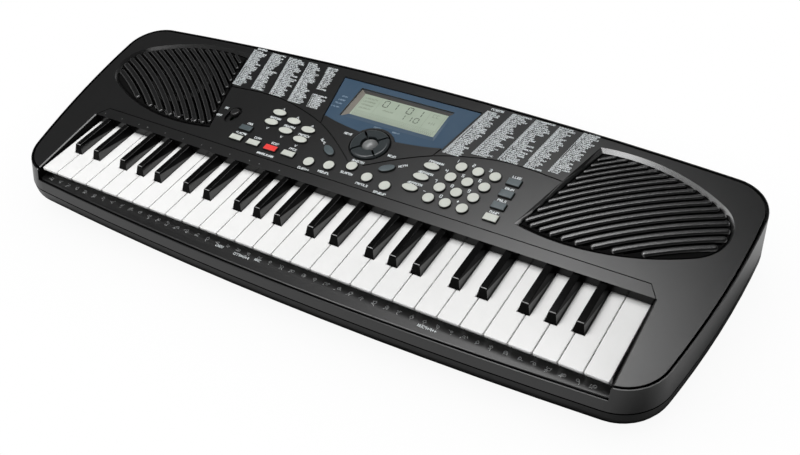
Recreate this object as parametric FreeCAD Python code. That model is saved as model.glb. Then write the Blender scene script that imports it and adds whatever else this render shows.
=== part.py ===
import FreeCAD, Part
import math
import os

# Arranger keyboard with mini keys, from C to C over four octaves.
# Millimetres, +Z up, +X to the treble end, +Y to the back.
# Modelled around the middle of the keys, then moved so that the origin is under the middle of the case.

# Case shells
left_cheek_width = 47.0
right_cheek_width = 49.7
wall = 2.5
foot_height = 5.5
lower_case_height = 22.5
front_bow_radius = 4100.0
back_bow_radius = 3450.0
side_bow_radius = 900.0
cheek_top_bow_radius = 775.0
widest_from_back = 48.0
front_corner_radius = 42.0
cheek_top_corner_radius = 31.0
back_corner_radius = 36.0
front_lean = 0.38
bottom_round_radius = 16.0
edge_groove_rim = 0.9
edge_groove_width = 2.2
edge_groove_depth = 3.0
parting_groove_height = 1.5
parting_groove_depth = 1.6

# Ledge in front of the keys
front_margin = 22.5
ledge_below_keys = 9.3
ledge_groove_depth = 2.0
ledge_under_lip = 4.5
ledge_lip_round = 1.2
opening_bevel_width = 1.2
opening_bevel_depth = 0.7

# Keys
octave_count = 4
key_pitch = 20.0
key_gap = 0.9
key_left_gap = 0.9
key_right_gap = 2.8
key_top_height = 45.5
white_visible_length = 79.7
white_lip = 2.2
white_lip_overhang = 6.5
white_corner_radius = 1.4
white_edge_radius = 0.5
key_skirt_depth = 12.0
key_wall = 1.6
key_ceiling = 2.4
key_reach_under_wall = 4.0
arm_drop = 3.0
black_base_width = 9.4
black_top_width = 6.0
black_height = 8.5
black_front_from_key_front = 32.2
black_front_slope = 3.2
black_shift = 2.3
black_gap = 0.7
black_front_gap = 0.8
black_end_gap = 0.8
black_edge_radius = 0.7
wall_gap_over_keys = 1.2

# Key pivot: a round bead on a rib, and a saddle in each key that snaps over it
pivot_behind_wall = 42.0
pivot_below_key_top = 6.5
bead_radius = 2.0
bead_clearance = 0.05
bead_rib = 2.2
saddle_slot = 3.6
saddle_back = 5.0
key_dip_degrees = 2.7

# Key contacts
contact_from_pivot = 62.0
plunger_size = 4.0
plunger_below_skirt = 3.0
contact_spare = 0.4
contact_strip_width = 9.0
contact_strip_height = 3.0
contact_board_width = 30.0
board_thickness = 1.6
contact_post_spacing = 120.0
post_radius = 3.0

# Control panel: v runs up the slope from the panel's front edge
panel_rise = 9.0
panel_tilt = 5.36
panel_behind_window = 15.3
panel_groove_width = 0.9
panel_groove_depth = 0.8
curve_groove_width = 1.3
curve_groove_points = (
    (8.0, 38.0),
    (27.0, 52.0),
    (44.0, 63.0),
    (61.0, 72.0),
    (87.0, 81.0),
    (119.0, 87.8),
    (150.0, 88.0),
    (186.0, 84.5),
)
branch_point = 3
strip_depth = 12.0
strip_mitre = 8.0

# Display window
window_top_v = 138.3
window_corner_v = 84.0
window_bottom_v = 75.0
window_top_half = 76.0
window_bottom_half = 64.5
window_thickness = 1.6
window_recess = 2.8
window_floor = 1.5
bezel_width = 105.0
bezel_height = 43.5
bezel_center_v = 110.4
bezel_skin = 1.2
glass_width = 95.4
glass_height = 33.5
glass_center_v = 113.0
glass_depth = 5.0
glass_margin = 3.0
glass_thickness = 2.4

# Buttons
button_clearance = 0.35
button_rise = 2.2
button_travel = 1.2
button_flange = 1.2
button_flange_width = 1.2
button_seat_gap = 0.3
button_edge_radius = 0.8
number_radius = 5.2
number_first = (92.7, 68.0)
number_column_step = 16.36
number_row_step = 14.37
number_row_shift = 3.05
number_columns = 3
number_rows = 4
memory_radius = 5.2
memory_step = 20.4
memory_v = (23.0, 26.0, 33.1, 26.0, 23.0)
oval_length = 15.0
oval_width = 7.8
pair_first = (-106.6, 69.0)
pair_step = 20.45
pair_fall = 5.2
pair_row_step = 14.0
pair_count = 3
part_first = (67.7, 59.1)
part_step = 14.7
part_shift = 2.6
part_count = 3
slant_place = (31.3, 42.4)
slant_degrees = 57.0
style_first = (-126.9, 24.7)
style_step = 20.55
style_size = (13.5, 6.4)
style_count = 4
timbre_place = (-125.6, 38.8)
voice_first = (143.2, 24.8)
voice_step = 14.4
voice_size = (12.4, 7.6)
voice_count = 4

# Cursor pad
cursor_place = (0.0, 63.5)
cursor_well_radius = 20.0
cursor_well_depth = 1.5
cursor_outer_radius = 18.6
cursor_inner_radius = 8.6
cursor_gap = 2.0
cursor_dome_radius = 7.4
cursor_dome_rise = 3.4
cursor_rise = 2.4

# Power slide switch
switch_place = (-151.0, 50.6)
switch_well_length = 22.0
switch_well_width = 13.0
switch_well_depth = 2.4
switch_knob_radius = 4.6
switch_knob_rise = 2.0
switch_knob_round = 1.5
switch_travel = 7.0
switch_slot_width = 4.0
switch_stem_width = 3.2

# Grilles: distances are measured in from the grille's outer end
grille_side_gap = 21.1
grille_inner_bottom = (153.3, 30.0)
grille_bottom_mid = (84.0, 26.8)
grille_bottom_late = (33.9, 40.4)
grille_top_late = (26.4, 113.6)
grille_top_mid = (53.4, 124.9)
grille_inner_top = (123.1, 131.7)
grille_end_radius = 32.0
grille_depth = 3.2
grille_bevel = 3.0
grille_moat_width = 1.3
grille_moat_depth = 1.2
rib_pitch = 7.0
rib_pitch_fade = 0.1
rib_gap = 2.0
rib_height = 2.6
rib_round_share = 0.36
rib_bow_radius = 414.5
rib_shift = 6.0
rib_lean_degrees = 33.5
rib_count = 17
ribs_in_front = 7
rib_end_gap = 1.6
slot_width = 1.4
slot_end_gap = 3.0
speaker_from_end = (75.0, 80.0)

# Loudspeakers
speaker_radius = 33.0
speaker_flange = 2.0
basket_radius = 29.0
basket_neck_radius = 15.0
basket_depth = 13.0
magnet_radius = 20.0
magnet_depth = 9.0

# Boards
panel_board_depth = 7.4
panel_board_half_width = 158.0
panel_board_front_v = 17.0
panel_board_back_v = 134.0
panel_post_radius = 2.6
panel_posts = (
    (-150.0, 128.0),
    (150.0, 128.0),
    (-150.0, 74.0),
    (118.0, 80.0),
    (50.0, 37.0),
    (-52.0, 34.0),
)
main_board_x = (40.0, 185.0)
main_board_depth = 66.0
main_board_height = 33.0
main_board_back_gap = 2.0

# Sockets in the back wall
power_socket_x = 62.0
power_socket_bore = 3.0
power_socket_nose = 4.8
power_socket_pin = 0.9
phones_socket_x = 92.0
phones_socket_bore = 1.8
phones_socket_nose = 3.4
socket_rise = 7.0
socket_body_half = 5.5
socket_body_depth = 13.0
socket_clearance = 0.4

# Battery bay for six small cells in two rows, and its door
bay_center_x = -80.0
bay_back_from_case_back = 44.0
bay_length = 160.0
bay_width = 34.0
bay_depth = 20.0
bay_wall = 2.0
door_lap = 5.0
door_thickness = 2.0
door_gap = 0.4
door_pin_radius = 1.0
door_pin_clearance = 0.05
door_pin_length = 2.5

# Case screws and feet
screw_radius = 1.4
screw_head_radius = 2.9
screw_head_height = 2.2
screw_seat_height = 14.0
screw_bite = 5.0
screw_clearance = 0.2
screw_boss_radius = 4.6
upper_boss_radius = 3.5
front_screw_x = 100.0
front_screw_from_keys = 11.0
back_screw_x = 205.0
back_screw_from_back = 11.5
cheek_screw_from_keys = (35.0, 100.0)
corner_screw_from_side = 36.0
corner_screw_from_back = 28.0
foot_radius = 9.0
foot_seat = 1.0
foot_x = 262.0
front_foot_from_keys = 24.0
back_foot_from_back = 44.0

# Worked out from the sizes above
white_count = 7 * octave_count + 1
key_span = white_count * key_pitch
opening_left = -key_span / 2 - key_left_gap
opening_right = key_span / 2 + key_right_gap
case_half = (opening_right - opening_left + left_cheek_width + right_cheek_width) / 2
case_offset = (opening_right + right_cheek_width + opening_left - left_cheek_width) / 2
panel_cos = math.cos(math.radians(panel_tilt))
panel_sin = math.sin(math.radians(panel_tilt))
panel_length = (window_top_v + panel_behind_window) * panel_cos
case_depth = front_margin + white_visible_length + panel_length
front_y = -case_depth / 2
back_y = case_depth / 2
key_front_y = front_y + front_margin
wall_y = key_front_y + white_visible_length
pivot_y = wall_y + pivot_behind_wall
black_front_y = key_front_y + black_front_from_key_front
widest_y = back_y - widest_from_back
floor_z = foot_height
parting_z = foot_height + lower_case_height
ledge_z = key_top_height - ledge_below_keys
panel_z = key_top_height + panel_rise
wall_bottom_z = key_top_height + wall_gap_over_keys
skirt_z = key_top_height - key_skirt_depth
arm_top_z = key_top_height - arm_drop
pivot_z = key_top_height - pivot_below_key_top
floor_top_z = floor_z + wall
roof_z = panel_z + panel_length * panel_sin / panel_cos + 2 * wall
plunger_z = skirt_z - plunger_below_skirt
contact_y = pivot_y - contact_from_pivot
contact_top_z = plunger_z - contact_from_pivot * math.sin(math.radians(key_dip_degrees)) - contact_spare
contact_board_z = contact_top_z - contact_strip_height - board_thickness
grille_end_x = case_half - grille_side_gap
main_board_back_y = back_y - back_bow_radius + math.sqrt(back_bow_radius ** 2 - main_board_x[1] ** 2)
main_board_back_y -= wall + main_board_back_gap
socket_z = main_board_height + board_thickness + socket_rise
bay_back_y = back_y - bay_back_from_case_back
bay_front_y = bay_back_y - bay_width

Vector = FreeCAD.Vector
along_x = Vector(1, 0, 0)
along_y = Vector(0, 1, 0)
up = Vector(0, 0, 1)
far = 2000.0
touch = 0.01


def box(x0, x1, y0, y1, z0, z1):
    return Part.makeBox(x1 - x0, y1 - y0, z1 - z0, Vector(x0, y0, z0))


def cylinder(radius, x, y, z0, z1):
    return Part.makeCylinder(radius, z1 - z0, Vector(x, y, z0), up)


def mirrored(shape):
    return shape.mirror(Vector(0, 0, 0), along_x)


def both_sides(shape):
    return [shape, mirrored(shape)]


def prism(points, z0, z1):
    corners = [Vector(x, y, z0) for x, y in points]
    face = Part.Face(Part.makePolygon(corners + corners[:1]))
    return face.extrude(Vector(0, 0, z1 - z0))


def tidy(shape):
    """One solid with no leftover seams between faces of the same surface."""
    return shape.removeSplitter().Solids[0]


# Panel frame: a shape modelled flat, with its surface at zero height, is tilted into place.
panel_place = FreeCAD.Placement(Vector(0, wall_y, panel_z), FreeCAD.Rotation(along_x, panel_tilt))


def onto_panel(shape):
    moved = shape.copy()
    moved.transformShape(panel_place.toMatrix())
    return moved


# Case outline


def corner_center(center_a, radius_a, center_b, radius_b, corner):
    """Centre of the corner arc that touches two bowed sides from inside, on the right."""
    reach_a = radius_a - corner
    reach_b = radius_b - corner
    between = center_b - center_a
    along = (reach_a ** 2 - reach_b ** 2 + between.Length ** 2) / (2 * between.Length)
    aside = math.sqrt(reach_a ** 2 - along ** 2)
    base = center_a + between * (along / between.Length)
    turn = Vector(-between.y, between.x, 0) * (aside / between.Length)
    return max(base + turn, base - turn, key=lambda point: point.x)


def on_circle(center, radius, towards):
    return center + (towards - center).normalize() * radius


def cheek_share(z):
    """Height as a share of the way from the parting line up to the cheek tops."""
    return max(0.0, z - parting_z) / (key_top_height - parting_z)


def side_radius_at(z):
    """Bow of the sides at one height: rounder at the cheek tops than at the parting line."""
    share = cheek_share(z)
    bow = (1 - share) / side_bow_radius + share / cheek_top_bow_radius
    return 1 / bow


def front_corner_at(z):
    """Front corner radius at one height: tighter at the cheek tops than at the parting line."""
    share = min(1.0, cheek_share(z))
    return (1 - share) * front_corner_radius + share * cheek_top_corner_radius


def outline(z, inset):
    """Closed case outline at one height, with all sides moved in by the inset."""
    lean = max(0.0, z - parting_z) * front_lean
    front = front_y + lean + inset
    back = back_y - inset
    half = case_half - inset
    side_radius = side_radius_at(z)
    front_center = Vector(0, front + front_bow_radius, z)
    back_center = Vector(0, back - back_bow_radius, z)
    side_center = Vector(half - side_radius, widest_y, z)
    front_corner = max(front_corner_at(z) - inset, wall)
    back_corner = max(back_corner_radius - inset, wall)
    low = corner_center(front_center, front_bow_radius, side_center, side_radius, front_corner)
    high = corner_center(back_center, back_bow_radius, side_center, side_radius, back_corner)
    front_end = on_circle(front_center, front_bow_radius, low)
    side_start = on_circle(side_center, side_radius, low)
    side_end = on_circle(side_center, side_radius, high)
    back_end = on_circle(back_center, back_bow_radius, high)
    side_mid = on_circle(side_center, side_radius, (side_start + side_end) / 2)
    low_mid = on_circle(low, front_corner, (front_end + side_start) / 2)
    high_mid = on_circle(high, back_corner, (side_end + back_end) / 2)

    def left(point):
        return Vector(-point.x, point.y, point.z)

    arcs = [
        (left(front_end), Vector(0, front, z), front_end),
        (front_end, low_mid, side_start),
        (side_start, side_mid, side_end),
        (side_end, high_mid, back_end),
        (back_end, Vector(0, back, z), left(back_end)),
        (left(back_end), left(high_mid), left(side_end)),
        (left(side_end), left(side_mid), left(side_start)),
        (left(side_start), left(low_mid), left(front_end)),
    ]
    wire = Part.Wire([Part.Arc(*points).toShape() for points in arcs])
    wire.translate(Vector(case_offset, 0, 0))
    return wire


def shell_block(levels):
    """Solid through case outlines, given as pairs of height and inset."""
    return Part.makeLoft([outline(z, inset) for z, inset in levels], True, True)


def below_panel(depth):
    """Everything lower than a plane at this depth under the panel surface."""
    return onto_panel(box(-far, far, -far, far, -far, -depth))


def panel_slab(depth):
    """A sheet of space from this depth under the panel surface up into the air."""
    return onto_panel(box(-far, far, -far, far, -depth, far))


# Grilles, modelled flat for the right-hand side


def grille_wire(grow, z):
    """Grille outline on the panel, moved out by the given amount."""

    def place(pair, push_x, push_v):
        return Vector(grille_end_x - pair[0] + push_x, pair[1] + push_v, z)

    inner_bottom = place(grille_inner_bottom, -grow, -grow)
    inner_top = place(grille_inner_top, -grow, grow)
    bottom_mid = place(grille_bottom_mid, 0, -grow)
    bottom_late = place(grille_bottom_late, 0, -grow)
    top_mid = place(grille_top_mid, 0, grow)
    top_late = place(grille_top_late, 0, grow)
    bottom = Part.Circle(inner_bottom, bottom_mid, bottom_late)
    top = Part.Circle(inner_top, top_mid, top_late)
    end_radius = grille_end_radius + grow
    end = corner_center(bottom.Center, bottom.Radius, top.Center, top.Radius, end_radius)
    low = on_circle(bottom.Center, bottom.Radius, end)
    high = on_circle(top.Center, top.Radius, end)
    tip = on_circle(end, end_radius, (low + high) / 2 + Vector(end_radius, 0, 0))
    low_mid = on_circle(bottom.Center, bottom.Radius, (inner_bottom + low) / 2)
    high_mid = on_circle(top.Center, top.Radius, (inner_top + high) / 2)
    edges = [
        Part.Arc(inner_bottom, low_mid, low).toShape(),
        Part.Arc(low, tip, high).toShape(),
        Part.Arc(high, high_mid, inner_top).toShape(),
        Part.LineSegment(inner_top, inner_bottom).toShape(),
    ]
    return Part.Wire(edges)


def grille_prism(grow, z0, z1):
    return Part.Face(grille_wire(grow, z0)).extrude(Vector(0, 0, z1 - z0))


def grille_recess():
    """Recess with a bevelled rim and a fine moat along its foot."""
    bevel = Part.makeLoft([grille_wire(0, -grille_depth), grille_wire(grille_bevel, 0)], True, True)
    mouth = grille_prism(grille_bevel, 0, grille_bevel)
    moat = grille_prism(0, -grille_depth - grille_moat_depth, 0)
    moat = moat.cut(grille_prism(-grille_moat_width, -far, far))
    return bevel.fuse([mouth, moat])


def bowed_bar(radius, width, end_gap):
    """Flat curved bar with round ends, clipped to the grille; None where it would be too short."""
    center = Vector(grille_end_x - speaker_from_end[0], speaker_from_end[1], 0)
    lean = math.radians(rib_lean_degrees)
    center += Vector(math.sin(lean), -math.cos(lean), 0) * rib_bow_radius
    room = Part.Face(grille_wire(-end_gap - width / 2, 0))
    runs = Part.makeCircle(radius, center).common(room).Edges
    if not runs:
        return None
    run = max(runs, key=lambda edge: edge.Length)
    if run.Length < width:
        return None
    ends = [run.valueAt(run.FirstParameter), run.valueAt(run.LastParameter)]
    middle = run.valueAt((run.FirstParameter + run.LastParameter) / 2)
    inner = [on_circle(center, radius - width / 2, point) for point in ends + [middle]]
    outer = [on_circle(center, radius + width / 2, point) for point in ends + [middle]]
    away = [(ends[0] - middle).normalize(), (ends[1] - middle).normalize()]
    tips = [ends[side] + away[side] * (width / 2) for side in (0, 1)]
    edges = [
        Part.Arc(inner[0], inner[2], inner[1]).toShape(),
        Part.Arc(inner[1], tips[1], outer[1]).toShape(),
        Part.Arc(outer[1], outer[2], outer[0]).toShape(),
        Part.Arc(outer[0], tips[0], inner[0]).toShape(),
    ]
    return Part.Face(Part.Wire(edges))


def rib_radius(index):
    """Radius of a rib's middle line; the ribs stand closer towards the back."""
    step = index - ribs_in_front
    return rib_bow_radius + rib_shift + step * rib_pitch - step ** 2 * rib_pitch_fade


def grille_ribs():
    ribs = []
    for index in range(rib_count):
        rib_width = (rib_radius(index + 1) - rib_radius(index - 1)) / 2 - rib_gap
        face = bowed_bar(rib_radius(index), rib_width, rib_end_gap)
        if face is None:
            continue
        face.translate(Vector(0, 0, -grille_depth))
        rib = face.extrude(Vector(0, 0, rib_height))
        top_z = rib_height - grille_depth
        crest = [edge for edge in rib.Edges if min(v.Z for v in edge.Vertexes) > top_z - touch]
        ribs.append(rib.makeFillet(rib_width * rib_round_share, crest))
    return ribs


def grille_slots():
    slots = []
    for index in range(rib_count - 1):
        face = bowed_bar(rib_radius(index + 0.5), slot_width, slot_end_gap)
        if face is None:
            continue
        face.translate(Vector(0, 0, -grille_depth - wall - 1))
        slots.append(face.extrude(Vector(0, 0, wall + 2)))
    return slots


# Buttons, modelled flat on the panel


def round_face(x, v, radius):
    return Part.Face(Part.Wire(Part.makeCircle(radius, Vector(x, v, 0))))


def oval_face(x, v, length, width, degrees=0.0):
    ellipse = Part.Ellipse(Vector(0, 0, 0), length / 2, width / 2)
    face = Part.Face(Part.Wire(ellipse.toShape()))
    face.rotate(Vector(0, 0, 0), up, degrees)
    face.translate(Vector(x, v, 0))
    return face


def rectangle_face(x, v, width, height):
    corners = [(-1, -1), (1, -1), (1, 1), (-1, 1), (-1, -1)]
    points = [Vector(x + sx * width / 2, v + sv * height / 2, 0) for sx, sv in corners]
    return Part.Face(Part.makePolygon(points))


def slot_face(x, v, length, width):
    """Slot with round ends, long up the slope."""
    half = width / 2
    reach = length / 2 - half
    edges = [
        Part.LineSegment(Vector(x + half, v - reach, 0), Vector(x + half, v + reach, 0)).toShape(),
        Part.Arc(Vector(x + half, v + reach, 0), Vector(x, v + reach + half, 0),
                 Vector(x - half, v + reach, 0)).toShape(),
        Part.LineSegment(Vector(x - half, v + reach, 0), Vector(x - half, v - reach, 0)).toShape(),
        Part.Arc(Vector(x - half, v - reach, 0), Vector(x, v - reach - half, 0),
                 Vector(x + half, v - reach, 0)).toShape(),
    ]
    return Part.Face(Part.Wire(edges))


def button_outlines(grow):
    """Outlines of every push button, each moved out by the given amount."""
    faces = []
    for row in range(number_rows):
        for column in range(number_columns):
            x = number_first[0] + column * number_column_step - row * number_row_shift
            v = number_first[1] - row * number_row_step
            faces.append(round_face(x, v, number_radius + grow))
    for index, v in enumerate(memory_v):
        x = (index - (len(memory_v) - 1) / 2) * memory_step
        faces.append(round_face(x, v, memory_radius + grow))
    for index in range(pair_count):
        x = pair_first[0] + index * pair_step
        v = pair_first[1] - index * pair_fall
        for row in (0, 1):
            faces.append(oval_face(x, v - row * pair_row_step, oval_length + 2 * grow, oval_width + 2 * grow))
    for index in range(part_count):
        x = part_first[0] - index * part_shift
        v = part_first[1] - index * part_step
        faces.append(oval_face(x, v, oval_length + 2 * grow, oval_width + 2 * grow))
    for side in (-1, 1):
        degrees = 90.0 - side * slant_degrees
        faces.append(oval_face(side * slant_place[0], slant_place[1], oval_length + 2 * grow,
                               oval_width + 2 * grow, degrees))
    style_places = [(style_first[0] + index * style_step, style_first[1]) for index in range(style_count)]
    for x, v in style_places + [timbre_place]:
        faces.append(rectangle_face(x, v, style_size[0] + 2 * grow, style_size[1] + 2 * grow))
    for index in range(voice_count):
        v = voice_first[1] + index * voice_step
        faces.append(rectangle_face(voice_first[0], v, voice_size[0] + 2 * grow, voice_size[1] + 2 * grow))
    return faces


def raised(face, z0, z1):
    low = face.copy()
    low.translate(Vector(0, 0, z0))
    return low.extrude(Vector(0, 0, z1 - z0))


def push_buttons():
    """Separate caps: a rounded crown through the panel and a flange that holds it in from below."""
    flange_top = -wall - button_seat_gap
    caps = []
    for crown_face, flange_face in zip(button_outlines(0.0), button_outlines(button_flange_width)):
        crown = raised(crown_face, flange_top, button_rise)
        rim = [edge for edge in crown.Edges if min(v.Z for v in edge.Vertexes) > button_rise - touch]
        crown = crown.makeFillet(button_edge_radius, rim)
        flange = raised(flange_face, flange_top - button_flange, flange_top)
        caps.append(onto_panel(tidy(crown.fuse(flange))))
    return Part.makeCompound(caps)


def cursor_gaps(z0, z1):
    """Two crossed bars that part the cursor pad on the diagonals."""
    bars = []
    for degrees in (45.0, 135.0):
        bar = box(-far, far, -cursor_gap / 2, cursor_gap / 2, z0, z1)
        bar.rotate(Vector(0, 0, 0), up, degrees)
        bars.append(bar)
    return bars


def cursor_pad():
    """Four ring segments and a domed centre on one carrier ring under the panel."""
    x, v = cursor_place
    base_z = -wall - cursor_well_depth - button_seat_gap
    ring = cylinder(cursor_outer_radius, 0, 0, base_z, cursor_rise)
    top_edges = [edge for edge in ring.Edges if min(p.Z for p in edge.Vertexes) > cursor_rise - touch]
    ring = ring.makeFillet(cursor_rise, top_edges)
    ring = ring.cut([cylinder(cursor_inner_radius, 0, 0, -far, far)] + cursor_gaps(-far, far))
    dome_sphere = (cursor_dome_radius ** 2 + cursor_dome_rise ** 2) / (2 * cursor_dome_rise)
    ball = Part.makeSphere(dome_sphere, Vector(0, 0, cursor_dome_rise - dome_sphere))
    dome = ball.common(cylinder(cursor_dome_radius, 0, 0, 0, cursor_dome_rise + 1))
    dome = dome.fuse(cylinder(cursor_dome_radius, 0, 0, base_z, 0))
    carrier = cylinder(cursor_outer_radius + button_flange_width, 0, 0, base_z - button_flange, base_z)
    pad = carrier.fuse(ring.Solids + [dome])
    pad.translate(Vector(x, v, 0))
    return onto_panel(tidy(pad))


def cursor_hole():
    x, v = cursor_place
    well = cylinder(cursor_well_radius, x, v, -cursor_well_depth, wall)
    hole = cylinder(cursor_outer_radius + button_clearance, x, v, -far, far)
    return well, hole


# Power slide switch


def switch_hole():
    x, v = switch_place
    well = raised(slot_face(x, v, switch_well_length, switch_well_width), -switch_well_depth, wall)
    slot = raised(slot_face(x, v, switch_travel + switch_slot_width + 2 * button_clearance,
                            switch_slot_width), -switch_well_depth - wall - 1, wall)
    return well, slot


def power_switch():
    """Round knob on a stem, at the upper end of its slot."""
    x = switch_place[0]
    v = switch_place[1] + switch_travel / 2
    seat = -switch_well_depth + button_seat_gap
    knob = cylinder(switch_knob_radius, x, v, seat, switch_knob_rise)
    crest = [edge for edge in knob.Edges if edge.BoundBox.ZMin > switch_knob_rise - touch]
    knob = knob.makeFillet(switch_knob_round, crest)
    stem = cylinder(switch_stem_width / 2, x, v, -panel_board_depth + button_seat_gap, seat + touch)
    return onto_panel(tidy(knob.fuse(stem)))


# Display window


def window_face(grow):
    points = [
        Vector(-window_bottom_half - grow, window_corner_v - grow, 0),
        Vector(0, window_bottom_v - grow, 0),
        Vector(window_bottom_half + grow, window_corner_v - grow, 0),
        Vector(window_top_half + grow, window_top_v + grow, 0),
        Vector(-window_top_half - grow, window_top_v + grow, 0),
    ]
    edges = [
        Part.Arc(points[0], points[1], points[2]).toShape(),
        Part.LineSegment(points[2], points[3]).toShape(),
        Part.LineSegment(points[3], points[4]).toShape(),
        Part.LineSegment(points[4], points[0]).toShape(),
    ]
    return Part.Face(Part.Wire(edges))


def window_cuts():
    """Seat for the lens plate, and the opening below it for the frame of the display."""
    x, v = cursor_place
    seat = raised(window_face(button_clearance), -window_recess, wall)
    seat = seat.cut(cylinder(cursor_well_radius + wall, x, v, -far, far))
    opening = raised(rectangle_face(0, bezel_center_v, bezel_width, bezel_height), -far, wall)
    return seat, opening


def frustum(top_z, bottom_z, skin):
    """Tapered block from the frame's mouth down to the glass, grown by the skin."""
    mouth = rectangle_face(0, bezel_center_v, bezel_width + 2 * skin, bezel_height + 2 * skin).OuterWire
    foot = rectangle_face(0, glass_center_v, glass_width + 2 * skin, glass_height + 2 * skin).OuterWire
    mouth.translate(Vector(0, 0, top_z))
    foot.translate(Vector(0, 0, bottom_z))
    return Part.makeLoft([foot, mouth], True, True)


def display_window():
    """Blue lens plate with a hole, and the tapered frame that runs down to the glass."""
    x, v = cursor_place
    plate_top = window_thickness - window_recess
    plate = raised(window_face(0.0), -window_recess, plate_top)
    plate = plate.cut(cylinder(cursor_well_radius + wall + button_clearance, x, v, -far, far))
    mouth = raised(rectangle_face(0, bezel_center_v, bezel_width - 2 * bezel_skin,
                                  bezel_height - 2 * bezel_skin), -far, wall)
    plate = plate.cut(mouth)
    frame = frustum(-window_recess, -glass_depth, -button_clearance)
    frame = frame.cut(frustum(-window_recess, -glass_depth, -bezel_skin - button_clearance))
    return Part.makeCompound([onto_panel(plate), onto_panel(frame)])


# Upper case


def key_notch():
    """Space above the ledge and the keys, open to the front."""
    return box(opening_left, opening_right, front_y - wall, wall_y, ledge_z, roof_z)


def opening_bevels():
    """Small bevels where the cheeks meet the key opening."""
    bevels = []
    for edge, cheek in ((opening_left, -1), (opening_right, 1)):
        far_edge = edge + cheek * opening_bevel_width
        section = [(far_edge, 0), (edge, -opening_bevel_depth), (edge, wall), (far_edge, wall)]
        corners = [Vector(x, -far, h) for x, h in section + section[:1]]
        face = Part.Face(Part.makePolygon(corners))
        bevels.append(onto_panel(face.extrude(Vector(0, far, 0))))
    return bevels


def edge_groove():
    """Dark shadow groove that follows the edge of the top and of the ledge."""
    levels_out = [(parting_z, edge_groove_rim), (roof_z, edge_groove_rim)]
    levels_in = [(z, inset + edge_groove_width) for z, inset in levels_out]
    ring = shell_block(levels_out).cut(shell_block(levels_in))
    ledge_zone = box(opening_left, opening_right, front_y, key_front_y, ledge_z - ledge_groove_depth, roof_z)
    return ring.common(panel_slab(edge_groove_depth)).fuse(ring.common(ledge_zone))


def strip_grooves():
    """Fine line behind the keys, mitred to the corners of the key opening."""
    half = panel_groove_width / 2
    left_end = opening_left + strip_mitre
    right_end = opening_right - strip_mitre
    grooves = [box(left_end, right_end, strip_depth - half, strip_depth + half, -panel_groove_depth, wall)]
    for corner, end in ((opening_left, left_end), (opening_right, right_end)):
        far_end = [(end - half, strip_depth), (end + half, strip_depth)]
        near_end = [(corner + half, 0), (corner - half, 0)]
        grooves.append(prism(far_end + near_end, -panel_groove_depth, wall))
    return grooves


def smooth_line(points):
    line = Part.BSplineCurve()
    line.interpolate(points)
    return line


def curve_grooves():
    """Fine line that sweeps out from the middle to each grille, with a branch to the window's corner."""
    half = curve_groove_width / 2
    middles = [Vector(x, v, 0) for x, v in curve_groove_points]
    line = smooth_line(middles)
    edges = []
    rims = []
    for side in (-1, 1):
        rim = []
        for point in middles:
            heading = line.tangent(line.parameter(point))[0]
            rim.append(point + Vector(-heading.y, heading.x, 0) * (side * half))
        edges.append(smooth_line(rim).toShape())
        rims.append(rim)
    for end in (0, -1):
        edges.append(Part.LineSegment(rims[0][end], rims[1][end]).toShape())
    sweep = raised(Part.Face(Part.Wire(Part.__sortEdges__(edges))), -panel_groove_depth, wall)
    top = (window_bottom_half, window_corner_v)
    foot = curve_groove_points[branch_point]
    branch = prism([(top[0] - half, top[1]), (foot[0] - half, foot[1]), (foot[0] + half, foot[1]),
                    (top[0] + half, top[1])], -panel_groove_depth, wall)
    return both_sides(sweep) + both_sides(branch)


def screw_places():
    """Screw axes as points on the floor plan."""
    places = []
    for side in (-1, 1):
        edge_x = case_half + side * case_offset
        opening_edge = opening_right if side > 0 else -opening_left
        cheek_x = (opening_edge + wall + edge_x) / 2
        places.append((side * front_screw_x, key_front_y - front_screw_from_keys))
        for from_keys in cheek_screw_from_keys:
            spot = key_front_y + from_keys
            bow = cheek_top_bow_radius - math.sqrt(cheek_top_bow_radius ** 2 - (widest_y - spot) ** 2)
            places.append((side * (cheek_x - bow / 2), spot))
        places.append((side * (edge_x - corner_screw_from_side), back_y - corner_screw_from_back))
        back_bow = back_bow_radius - math.sqrt(back_bow_radius ** 2 - back_screw_x ** 2)
        places.append((side * back_screw_x, back_y - back_bow - back_screw_from_back))
    return places


def back_openings():
    """Round holes in the back wall for the socket noses."""
    reach = back_y + wall - main_board_back_y
    holes = []
    for x, nose in ((power_socket_x, power_socket_nose), (phones_socket_x, phones_socket_nose)):
        start = Vector(x, main_board_back_y, socket_z)
        holes.append(Part.makeCylinder(nose + socket_clearance, reach, start, along_y))
    return holes


def ledge_lip(body):
    """Front edge of the ledge, along the groove."""
    level = []
    for edge in body.Edges:
        low, high = edge.BoundBox.ZMin, edge.BoundBox.ZMax
        in_front = edge.BoundBox.YMax < key_front_y
        if abs(low - ledge_z) < touch and abs(high - ledge_z) < touch and in_front:
            level.append(edge)
    long_edges = [edge for edge in level if edge.Length > key_span / 2]
    return max(long_edges, key=lambda edge: edge.CenterOfMass.y)


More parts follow.
